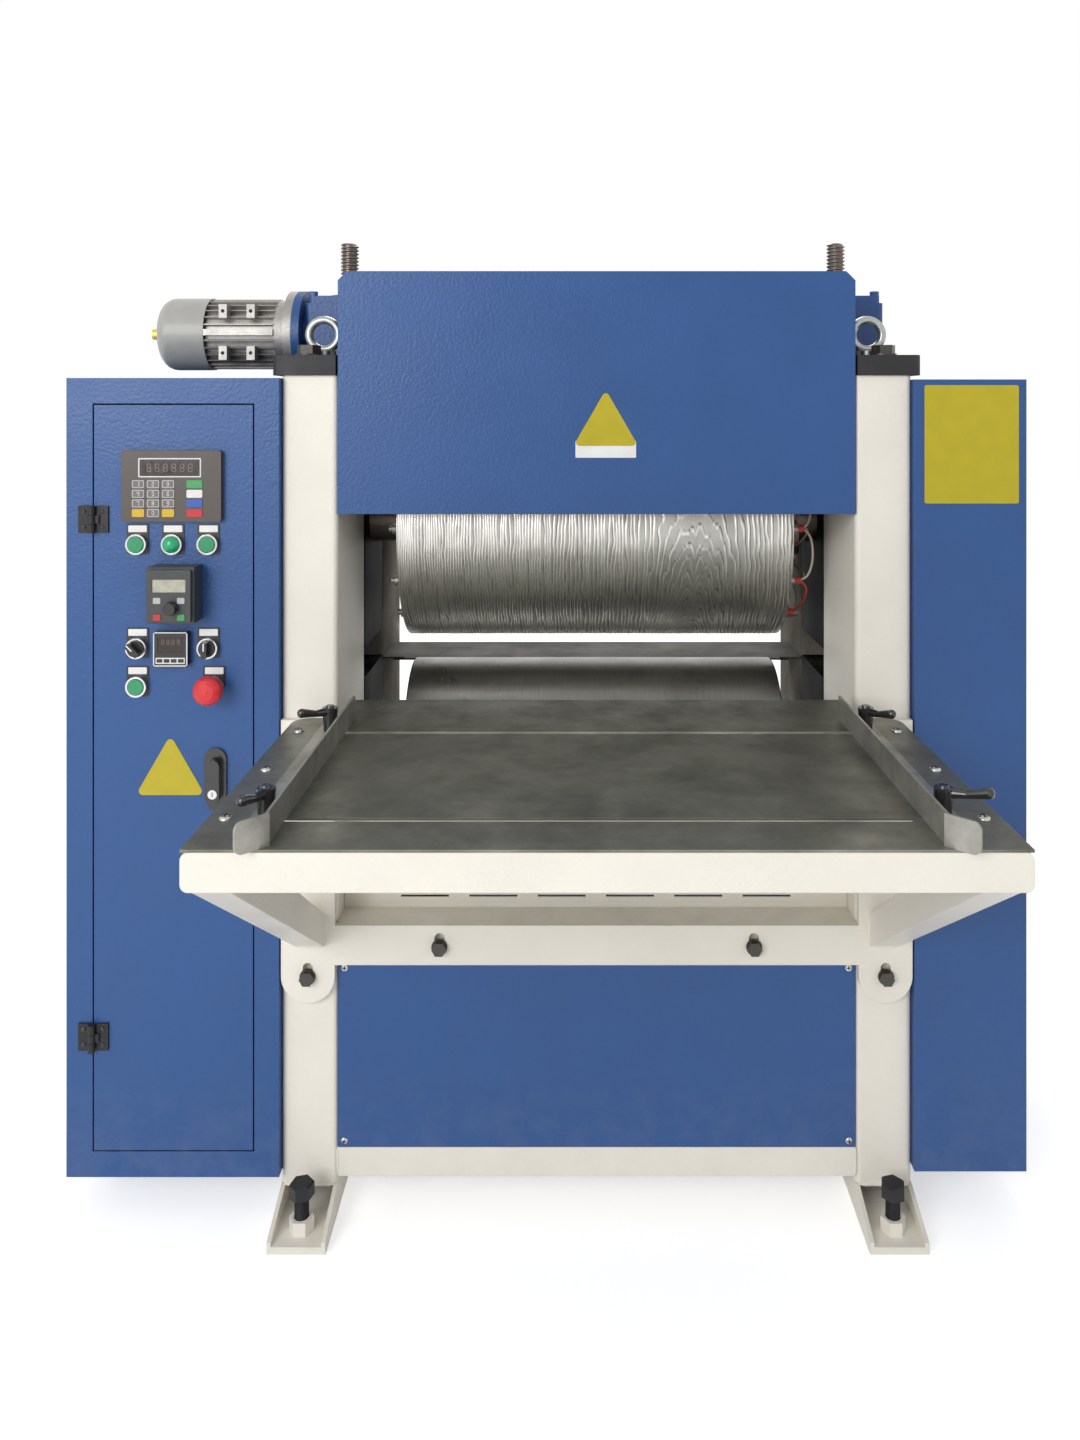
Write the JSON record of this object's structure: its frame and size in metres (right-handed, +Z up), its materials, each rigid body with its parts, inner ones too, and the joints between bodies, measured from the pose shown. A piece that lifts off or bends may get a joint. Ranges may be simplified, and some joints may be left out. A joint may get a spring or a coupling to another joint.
{
  "type": "wood-grain embossing roll press",
  "caption": "Floor-standing roll press for embossing boards: a heated engraved roll over a driven smooth roll, an infeed table with sliding fences, a screw lift and a control cabinet.",
  "frame": {"origin": "on the floor, under the middle of the whole object's box", "axes": "+X to the operator's right along the rolls, +Y from the infeed table to the back, +Z up"},
  "size_m": [1.354, 1.116, 1.418],
  "materials": {
    "cream_paint": "semi-gloss stoved paint",
    "blue_paint": "semi-gloss stoved paint",
    "black_steel": "blackened steel, oiled",
    "bright_steel": "ground and turned steel",
    "table_steel": "bare cold-rolled sheet, handled",
    "cast_aluminium": "as-cast, lightly oxidised",
    "brass": "turned brass and bronze",
    "wire_insulation": "sleeved wire",
    "black_plastic": "moulded plastic",
    "grey_plastic": "moulded plastic with printed keys",
    "green_plastic": "moulded push-button cap",
    "red_plastic": "moulded mushroom head",
    "lamp_lens": "tinted pilot lens",
    "bezel_chrome": "plated ring"
  },
  "bodies": {
    "frame": {"posts": "cream_paint", "foot_channels": "cream_paint", "cross_rails": "cream_paint", "top_plates": "black_steel", "frame_bolts": "black_steel", "lifting_eyes": "black_steel", "lower_panels": "blue_paint", "roll_guards": "blue_paint", "lower_bearings": "black_steel", "lift_gearboxes": "blue_paint", "lift_motor": "cast_aluminium", "lift_motor_fan_cover": "grey_plastic", "drive_gearmotor": "blue_paint", "drive_chain": "black_steel", "outfeed_plate": "bright_steel", "control_cabinet": "blue_paint", "cabinet_gear": "grey_plastic", "hinge_leaves": "black_steel", "drive_guard": "blue_paint"},
    "lift": {"upper_bearings": "black_steel", "lift_screws": "bright_steel"},
    "upper_roll": {"embossing_roll": "bright_steel", "embossing_shaft": "bright_steel", "heater_terminals": "cast_aluminium", "heater_leads": "wire_insulation", "slip_ring": "brass"},
    "lower_roll": {"pressure_roll": "bright_steel", "pressure_roll_sprocket": "bright_steel"},
    "drive_output": {"drive_sprocket": "bright_steel"},
    "lift_drive": {"lift_cross_shaft": "brass"},
    "door": {"cabinet_door": "blue_paint", "door_hinge_leaves": "black_steel", "counter_panel": "grey_plastic", "speed_keypad": "grey_plastic", "temperature_controller": "black_plastic", "legend_plates": "black_plastic", "button_bezels": "bezel_chrome", "pilot_lamp": "lamp_lens", "lock_plate": "black_steel"},
    "table": {"table_frame": "cream_paint", "table_sheet": "table_steel"},
    "start_button": {"start_button": "green_plastic"},
    "feed_button": {"feed_button": "green_plastic"},
    "heat_button": {"heat_button": "green_plastic"},
    "stop_button": {"stop_button": "red_plastic"},
    "left_selector": {"left_selector": "black_plastic"},
    "right_selector": {"right_selector": "black_plastic"},
    "speed_knob": {"speed_knob": "black_plastic"},
    "lock_handle": {"lock_handle": "black_steel"},
    "lock_cylinder": {"lock_cylinder": "bezel_chrome"},
    "left_fence": {"left_fence": "table_steel"},
    "right_fence": {"right_fence": "table_steel"},
    "left_rear_lever": {"left_rear_lever": "black_plastic"},
    "left_front_lever": {"left_front_lever": "black_plastic"},
    "right_rear_lever": {"right_rear_lever": "black_plastic"},
    "right_front_lever": {"right_front_lever": "black_plastic"},
    "left_front_jack": {"left_front_jack": "black_steel"},
    "right_front_jack": {"right_front_jack": "black_steel"},
    "left_rear_jack": {"left_rear_jack": "black_steel"},
    "right_rear_jack": {"right_rear_jack": "black_steel"}
  },
  "joints": [
    {"name": "lift", "type": "slide", "parent": "frame", "child": "lift", "axis": [0, 0, 1], "range_m": [-0.045, 0.06]},
    {"name": "upper_roll_spin", "type": "hinge", "parent": "lift", "child": "upper_roll", "pos_m": [0.071, 0.202, 0.959], "axis": [1, 0, 0], "continuous": true},
    {"name": "lower_roll_spin", "type": "hinge", "parent": "frame", "child": "lower_roll", "pos_m": [0.071, 0.202, 0.601], "axis": [1, 0, 0], "continuous": true},
    {"name": "drive_output_spin", "type": "hinge", "parent": "frame", "child": "drive_output", "pos_m": [0.071, 0.202, 0.24], "axis": [1, 0, 0], "continuous": true},
    {"name": "lift_drive_spin", "type": "hinge", "parent": "frame", "child": "lift_drive", "pos_m": [0.071, 0.152, 1.263], "axis": [1, 0, 0], "range_deg": [-27001, 36001]},
    {"name": "door_hinge", "type": "hinge", "parent": "frame", "child": "door", "pos_m": [-0.639, -0.096, 0.7], "axis": [0, 0, -1], "range_deg": [0, 110]},
    {"name": "start_button_press", "type": "slide", "parent": "door", "child": "start_button", "axis": [0, 1, 0], "range_m": [0, 0.003], "stiffness_N_per_m": 800},
    {"name": "feed_button_press", "type": "slide", "parent": "door", "child": "feed_button", "axis": [0, 1, 0], "range_m": [0, 0.003], "stiffness_N_per_m": 800},
    {"name": "heat_button_press", "type": "slide", "parent": "door", "child": "heat_button", "axis": [0, 1, 0], "range_m": [0, 0.003], "stiffness_N_per_m": 800},
    {"name": "stop_button_press", "type": "slide", "parent": "door", "child": "stop_button", "axis": [0, 1, 0], "range_m": [0, 0.006], "stiffness_N_per_m": 1000},
    {"name": "left_selector_turn", "type": "hinge", "parent": "door", "child": "left_selector", "pos_m": [-0.576, -0.09, 0.806], "axis": [0, -1, 0], "range_deg": [-90, 0]},
    {"name": "right_selector_turn", "type": "hinge", "parent": "door", "child": "right_selector", "pos_m": [-0.476, -0.09, 0.806], "axis": [0, -1, 0], "range_deg": [-45, 45]},
    {"name": "speed_knob_turn", "type": "hinge", "parent": "door", "child": "speed_knob", "pos_m": [-0.514, -0.09, 0.869], "axis": [0, -1, 0], "range_deg": [-150, 150]},
    {"name": "lock_handle_lift", "type": "hinge", "parent": "door", "child": "lock_handle", "pos_m": [-0.466, -0.0993, 0.646], "axis": [-1, 0, 0], "range_deg": [0, 60]},
    {"name": "lock_cylinder_turn", "type": "hinge", "parent": "lock_handle", "child": "lock_cylinder", "pos_m": [-0.466, -0.1, 0.604], "axis": [0, -1, 0], "range_deg": [0, 90]},
    {"name": "table_height", "type": "slide", "parent": "frame", "child": "table", "axis": [0, 0, 1], "range_m": [-0.012, 0]},
    {"name": "left_fence_slide", "type": "slide", "parent": "table", "child": "left_fence", "axis": [1, 0, 0], "range_m": [0, 0.24]},
    {"name": "right_fence_slide", "type": "slide", "parent": "table", "child": "right_fence", "axis": [-1, 0, 0], "range_m": [0, 0.24]},
    {"name": "left_rear_lever_turn", "type": "hinge", "parent": "left_fence", "child": "left_rear_lever", "pos_m": [-0.29, -0.157, 0.715], "axis": [0, 0, 1], "range_deg": [-135, 35]},
    {"name": "left_front_lever_turn", "type": "hinge", "parent": "left_fence", "child": "left_front_lever", "pos_m": [-0.29, -0.462, 0.715], "axis": [0, 0, 1], "range_deg": [-160, 10]},
    {"name": "right_rear_lever_turn", "type": "hinge", "parent": "right_fence", "child": "right_rear_lever", "pos_m": [0.432, -0.157, 0.715], "axis": [0, 0, -1], "range_deg": [-145, 25]},
    {"name": "right_front_lever_turn", "type": "hinge", "parent": "right_fence", "child": "right_front_lever", "pos_m": [0.432, -0.462, 0.715], "axis": [0, 0, -1], "range_deg": [-115, 55]},
    {"name": "left_front_jack_screw", "type": "slide", "parent": "frame", "child": "left_front_jack", "axis": [0, 0, 1], "range_m": [-0.026, 0.01]},
    {"name": "left_rear_jack_screw", "type": "slide", "parent": "frame", "child": "left_rear_jack", "axis": [0, 0, 1], "range_m": [-0.026, 0.01]},
    {"name": "right_front_jack_screw", "type": "slide", "parent": "frame", "child": "right_front_jack", "axis": [0, 0, 1], "range_m": [-0.026, 0.01]},
    {"name": "right_rear_jack_screw", "type": "slide", "parent": "frame", "child": "right_rear_jack", "axis": [0, 0, 1], "range_m": [-0.026, 0.01]}
  ],
  "couplings": [
    {"joint": "drive_output_spin", "follows": "lower_roll_spin", "ratio": 2},
    {"joint": "lift_drive_spin", "follows": "lift", "rad_per_m": 10472}
  ]
}
